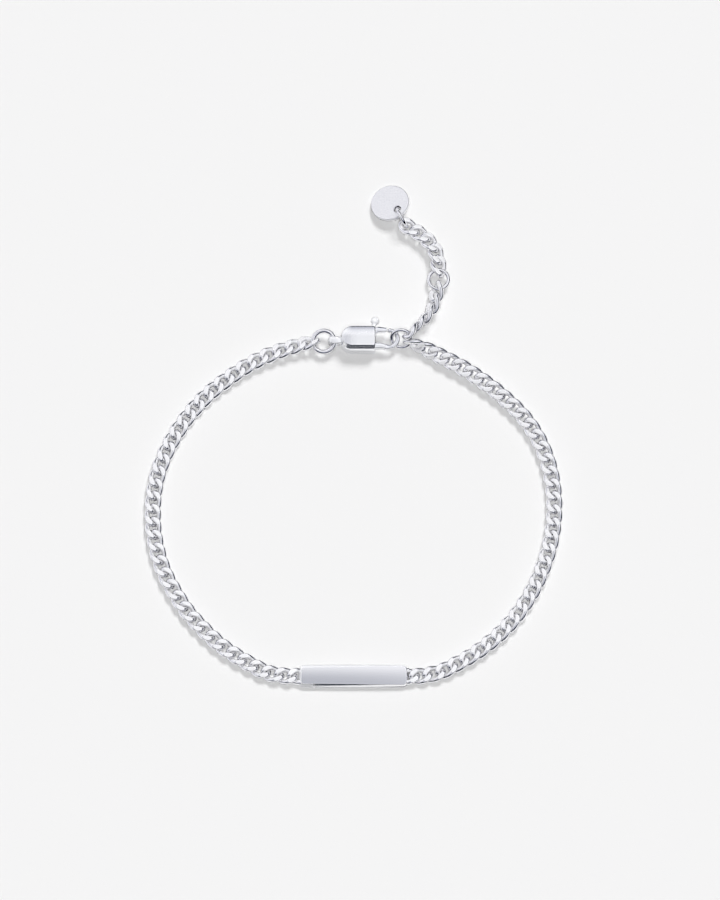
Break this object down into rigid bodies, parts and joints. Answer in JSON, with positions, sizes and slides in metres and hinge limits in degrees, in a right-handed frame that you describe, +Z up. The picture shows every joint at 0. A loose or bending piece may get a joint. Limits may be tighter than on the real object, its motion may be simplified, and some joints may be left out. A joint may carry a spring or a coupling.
{
  "type": "curb chain bracelet",
  "caption": "Silver curb chain bracelet with an engravable bar, a lobster clasp, a short extender chain and a round tag.",
  "frame": {"origin": "middle of the wrist opening, on the flat surface that the bracelet lies on", "axes": "+Z up from that surface, +Y from the bar across the opening to the clasp and on along the extender, +X to the right when the bar is nearest to the viewer"},
  "size_m": [0.0581, 0.072, 0.0033],
  "materials": {
    "silver": "polished sterling silver",
    "pin_silver": "polished silver with a darker line round it"
  },
  "bodies": {
    "bracelet": {"id_bar": "silver", "chain_left": "silver", "chain_right": "silver", "extender_lower": "silver", "extender_ring": "silver", "extender_upper": "silver", "end_ring": "silver", "clasp_ring": "silver", "clasp_body": "silver", "clasp_pin": "pin_silver", "tag_ring": "silver", "tag_disc": "silver"},
    "lever": {"clasp_lever": "silver"}
  },
  "joints": [
    {"name": "lever_hinge", "type": "hinge", "parent": "bracelet", "child": "lever", "pos_m": [0.0023, 0.0255, 0.0015], "axis": [0, 0, -1], "range_deg": [0, 26], "stiffness_Nm_per_rad": 0.001, "springref_deg": -28.65}
  ]
}
